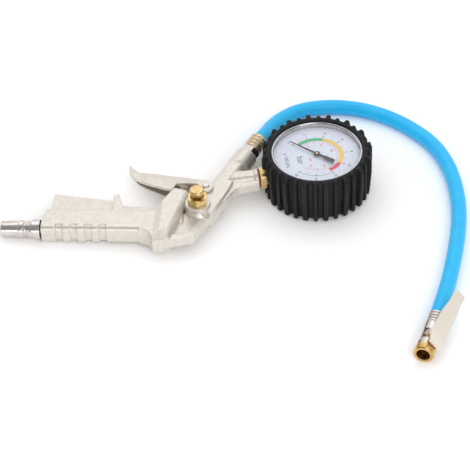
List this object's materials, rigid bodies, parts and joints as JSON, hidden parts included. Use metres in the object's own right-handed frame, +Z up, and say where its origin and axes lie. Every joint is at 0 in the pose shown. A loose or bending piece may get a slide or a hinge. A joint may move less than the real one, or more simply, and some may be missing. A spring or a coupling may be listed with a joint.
{
  "type": "tyre inflator with gauge",
  "caption": "Hand-held air gun with a pressing trigger, bleed button, dial gauge in a toothed rubber guard and a hose with a clip-on valve chuck.",
  "frame": {"origin": "middle of the gun's outline, on the table it lies on; the hose and chuck are left out of the middle", "axes": "+X from the inlet to the gauge, +Y to the trigger side and the hose end, +Z up, square to the table; the gun leans 2.4 degrees about Y on its gauge guard"},
  "size_m": [0.3065, 0.243, 0.0351],
  "materials": {
    "cast": "satin nickel on a die casting",
    "steel": "turned and nickel plated",
    "lever": "stamped and nickel plated",
    "brass": "turned, bright",
    "rubber": "moulded, matt",
    "spring": "drawn wire",
    "lens": "clear",
    "dial": "satin white",
    "pointer": "satin black",
    "hose": "smooth, semi-gloss"
  },
  "bodies": {
    "gun": {"cast_body": "cast", "inlet_plug": "steel", "inlet_washer": "rubber", "trigger_pin": "steel", "valve_gland": "brass", "gland_rings": "rubber", "valve_spring": "spring", "bleed_housing": "brass", "bleed_spring": "spring", "gauge_socket": "brass", "socket_seal": "rubber", "gauge_case": "steel", "gauge_guard": "rubber", "gauge_bezel": "steel", "gauge_lens": "lens", "gauge_dial": "dial", "movement_frame": "brass", "bourdon_tube": "brass", "hose_nipple": "steel", "hose_ferrule": "steel", "hose": "hose", "chuck_ferrule": "steel", "chuck_body": "brass", "chuck_sleeve": "steel", "chuck_seal": "rubber", "chuck_depressor": "brass", "chuck_lever_pin": "steel", "chuck_spring": "spring"},
    "trigger": {"trigger_lever": "cast"},
    "valve": {"valve_stem": "brass", "valve_seal": "rubber"},
    "bleed": {"bleed_button": "brass", "bleed_seal": "rubber"},
    "sector": {"sector_gear": "brass", "sector_arbor": "steel"},
    "pointer": {"gauge_pointer": "pointer", "pointer_arbor": "brass"},
    "link": {"tube_link": "steel"},
    "thumb_lever": {"chuck_lever": "lever"}
  },
  "joints": [
    {"name": "trigger_pivot", "type": "hinge", "parent": "gun", "child": "trigger", "pos_m": [0.01158, -0.00469, 0.01143], "axis": [-0.0418, 0, 0.9991], "range_deg": [0, 8.6], "stiffness_Nm_per_rad": 1.2, "springref_deg": -11.46},
    {"name": "valve_slide", "type": "slide", "parent": "gun", "child": "valve", "axis": [-0.2485, -0.9686, -0.0104], "range_m": [0, 0.0024], "deforming": ["valve_spring"]},
    {"name": "bleed_slide", "type": "slide", "parent": "gun", "child": "bleed", "axis": [0.0418, 0, -0.9991], "range_m": [0, 0.0015], "stiffness_N_per_m": 800, "springref_m": -0.002, "deforming": ["bleed_spring"]},
    {"name": "sector_swing", "type": "hinge", "parent": "gun", "child": "sector", "pos_m": [0.07249, 0.00976, 0.01398], "axis": [-0.0418, 0, 0.9991], "range_deg": [0, 38.57], "stiffness_Nm_per_rad": 0.01},
    {"name": "pointer_spin", "type": "hinge", "parent": "gun", "child": "pointer", "pos_m": [0.08456, 0.02025, 0.01448], "axis": [-0.0418, 0, 0.9991], "range_deg": [-270.1, 0]},
    {"name": "link_swing", "type": "hinge", "parent": "sector", "child": "link", "pos_m": [0.07627, 0.00509, 0.01413], "axis": [-0.0418, 0, 0.9991], "range_deg": [-59.89, 0]},
    {"name": "chuck_lever_pivot", "type": "hinge", "parent": "gun", "child": "thumb_lever", "pos_m": [0.16075, -0.12468, 0.00947], "axis": [-0.6817, 0.1878, 0.7071], "range_deg": [0, 13], "stiffness_Nm_per_rad": 0.3, "springref_deg": -11.46, "deforming": ["chuck_spring"]}
  ],
  "couplings": [
    {"joint": "valve_slide", "follows": "trigger_pivot", "m_per_rad": 0.015866},
    {"joint": "pointer_spin", "follows": "sector_swing", "ratio": -7},
    {"joint": "link_swing", "follows": "sector_swing", "ratio": -1.55}
  ]
}
